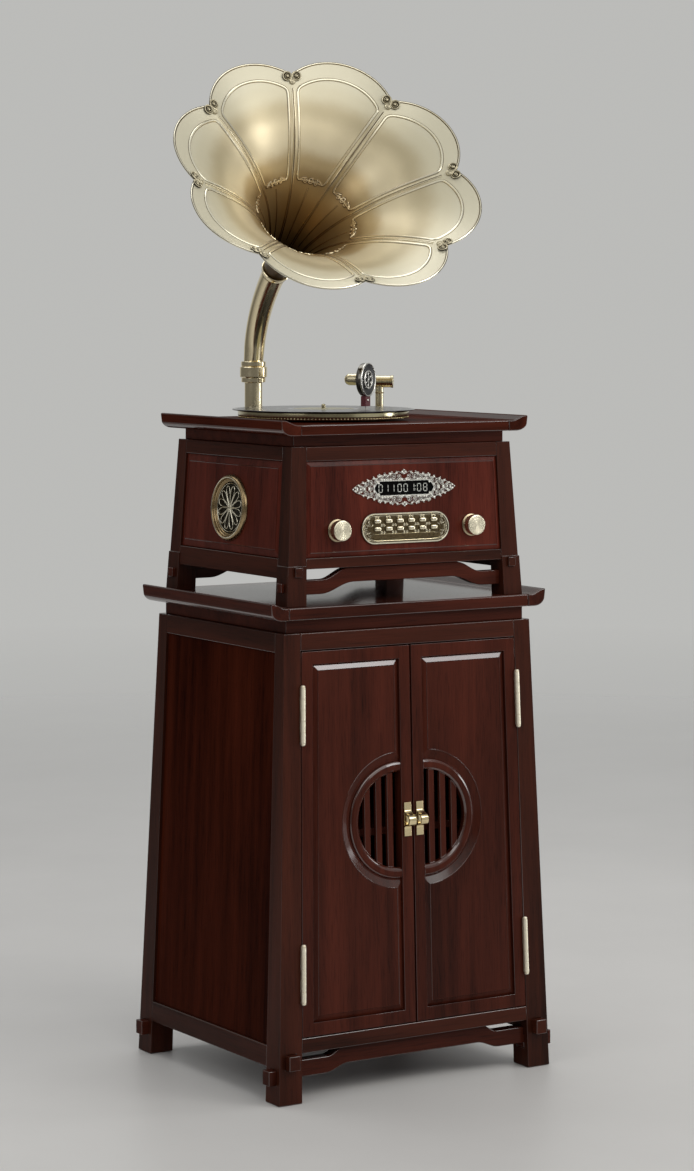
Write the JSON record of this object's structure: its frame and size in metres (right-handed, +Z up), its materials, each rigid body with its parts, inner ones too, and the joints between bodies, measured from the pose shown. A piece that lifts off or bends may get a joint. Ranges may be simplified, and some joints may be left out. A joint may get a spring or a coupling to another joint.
{
  "type": "floor-standing gramophone",
  "caption": "Floor-standing gramophone: tapered wooden two-door cabinet, sound unit with display, buttons and knobs, turntable, tonearm and a swivelling petal horn.",
  "frame": {"origin": "on the floor at the middle of the cabinet's four feet", "axes": "+Z up, -Y out of the front where the doors and controls are, +X to the right seen from the front"},
  "size_m": [0.6452, 0.5697, 1.6474],
  "materials": {
    "lacquered_wood": "dark red-brown lacquered wood, satin gloss",
    "brass": "pale antique brass, brushed",
    "antique_brass": "darkened brass",
    "nickel": "nickel plate, polished",
    "black_plastic": "black plastic",
    "vinyl": "black vinyl, fine grooves",
    "red_plastic": "dark red plastic"
  },
  "bodies": {
    "cabinet": {"cabinet_posts": "lacquered_wood", "cabinet_rails": "lacquered_wood", "cabinet_stretchers": "lacquered_wood", "cabinet_panels": "lacquered_wood", "cabinet_boards": "lacquered_wood", "cabinet_neck": "lacquered_wood", "cabinet_top": "lacquered_wood", "hinge_post_leaves": "brass", "head_posts": "lacquered_wood", "head_rails": "lacquered_wood", "head_stretchers": "lacquered_wood", "head_front_panel": "lacquered_wood", "head_panels": "lacquered_wood", "head_floor": "lacquered_wood", "head_neck": "lacquered_wood", "head_top": "lacquered_wood", "display_bezel": "nickel", "display_module": "black_plastic", "button_plate": "brass", "speaker_rosettes": "antique_brass", "speakers": "black_plastic", "amplifier": "black_plastic", "power_inlet": "black_plastic", "turntable_base": "black_plastic", "tonearm_post": "brass", "horn_socket": "brass"},
    "left_door": {"left_door_frame": "lacquered_wood", "left_door_panel": "lacquered_wood", "left_door_window": "lacquered_wood", "left_door_handle": "brass", "left_door_leaves": "brass"},
    "right_door": {"right_door_frame": "lacquered_wood", "right_door_panel": "lacquered_wood", "right_door_window": "lacquered_wood", "right_door_handle": "brass", "right_door_leaves": "brass"},
    "button_01": {"button_01": "brass"},
    "button_02": {"button_02": "brass"},
    "button_03": {"button_03": "brass"},
    "button_04": {"button_04": "brass"},
    "button_05": {"button_05": "brass"},
    "button_06": {"button_06": "brass"},
    "button_07": {"button_07": "brass"},
    "button_08": {"button_08": "brass"},
    "button_09": {"button_09": "brass"},
    "button_10": {"button_10": "brass"},
    "button_11": {"button_11": "brass"},
    "button_12": {"button_12": "brass"},
    "left_knob": {"left_knob": "brass"},
    "right_knob": {"right_knob": "brass"},
    "platter": {"platter": "nickel", "record": "vinyl"},
    "tonearm_swivel": {"tonearm_crossbar": "brass"},
    "tonearm": {"tonearm_tube": "brass", "soundbox": "nickel", "cartridge": "red_plastic"},
    "horn": {"horn_collar": "brass", "horn_elbow": "antique_brass", "horn_bell": "brass", "horn_ornaments": "antique_brass"}
  },
  "joints": [
    {"name": "left_door_hinge", "type": "hinge", "parent": "cabinet", "child": "left_door", "pos_m": [-0.21025, -0.21666, 0.40339], "axis": [-0.0177, -0.0368, -0.9992], "range_deg": [0, 110]},
    {"name": "right_door_hinge", "type": "hinge", "parent": "cabinet", "child": "right_door", "pos_m": [0.21025, -0.21666, 0.40339], "axis": [-0.0177, 0.0368, 0.9992], "range_deg": [0, 110]},
    {"name": "button_01_press", "type": "slide", "parent": "cabinet", "child": "button_01", "axis": [0, 0.9989, -0.0478], "range_m": [0, 0.0015], "stiffness_N_per_m": 300, "springref_m": -0.002},
    {"name": "button_02_press", "type": "slide", "parent": "cabinet", "child": "button_02", "axis": [0, 0.9989, -0.0478], "range_m": [0, 0.0015], "stiffness_N_per_m": 300, "springref_m": -0.002},
    {"name": "button_03_press", "type": "slide", "parent": "cabinet", "child": "button_03", "axis": [0, 0.9989, -0.0478], "range_m": [0, 0.0015], "stiffness_N_per_m": 300, "springref_m": -0.002},
    {"name": "button_04_press", "type": "slide", "parent": "cabinet", "child": "button_04", "axis": [0, 0.9989, -0.0478], "range_m": [0, 0.0015], "stiffness_N_per_m": 300, "springref_m": -0.002},
    {"name": "button_05_press", "type": "slide", "parent": "cabinet", "child": "button_05", "axis": [0, 0.9989, -0.0478], "range_m": [0, 0.0015], "stiffness_N_per_m": 300, "springref_m": -0.002},
    {"name": "button_06_press", "type": "slide", "parent": "cabinet", "child": "button_06", "axis": [0, 0.9989, -0.0478], "range_m": [0, 0.0015], "stiffness_N_per_m": 300, "springref_m": -0.002},
    {"name": "button_07_press", "type": "slide", "parent": "cabinet", "child": "button_07", "axis": [0, 0.9989, -0.0478], "range_m": [0, 0.0015], "stiffness_N_per_m": 300, "springref_m": -0.002},
    {"name": "button_08_press", "type": "slide", "parent": "cabinet", "child": "button_08", "axis": [0, 0.9989, -0.0478], "range_m": [0, 0.0015], "stiffness_N_per_m": 300, "springref_m": -0.002},
    {"name": "button_09_press", "type": "slide", "parent": "cabinet", "child": "button_09", "axis": [0, 0.9989, -0.0478], "range_m": [0, 0.0015], "stiffness_N_per_m": 300, "springref_m": -0.002},
    {"name": "button_10_press", "type": "slide", "parent": "cabinet", "child": "button_10", "axis": [0, 0.9989, -0.0478], "range_m": [0, 0.0015], "stiffness_N_per_m": 300, "springref_m": -0.002},
    {"name": "button_11_press", "type": "slide", "parent": "cabinet", "child": "button_11", "axis": [0, 0.9989, -0.0478], "range_m": [0, 0.0015], "stiffness_N_per_m": 300, "springref_m": -0.002},
    {"name": "button_12_press", "type": "slide", "parent": "cabinet", "child": "button_12", "axis": [0, 0.9989, -0.0478], "range_m": [0, 0.0015], "stiffness_N_per_m": 300, "springref_m": -0.002},
    {"name": "left_knob_turn", "type": "hinge", "parent": "cabinet", "child": "left_knob", "pos_m": [-0.129, -0.1854, 0.89184], "axis": [0, -0.9989, 0.0478], "range_deg": [-150, 150]},
    {"name": "right_knob_turn", "type": "hinge", "parent": "cabinet", "child": "right_knob", "pos_m": [0.129, -0.1854, 0.89184], "axis": [0, -0.9989, 0.0478], "range_deg": [-150, 150]},
    {"name": "platter_spin", "type": "hinge", "parent": "cabinet", "child": "platter", "pos_m": [-0.042, -0.006, 1.06352], "axis": [0, 0, 1], "continuous": true},
    {"name": "tonearm_swing", "type": "hinge", "parent": "cabinet", "child": "tonearm_swivel", "pos_m": [0.149, 0.118, 1.11752], "axis": [0, 0, 1], "range_deg": [-4, 28]},
    {"name": "tonearm_lift", "type": "hinge", "parent": "tonearm_swivel", "child": "tonearm", "pos_m": [0.149, 0.118, 1.11752], "axis": [-0.7826, 0.6225, 0], "range_deg": [0, 25]},
    {"name": "horn_turn", "type": "hinge", "parent": "cabinet", "child": "horn", "pos_m": [-0.077, 0.16, 1.12652], "axis": [0, 0, 1], "range_deg": [-90, 90]}
  ]
}
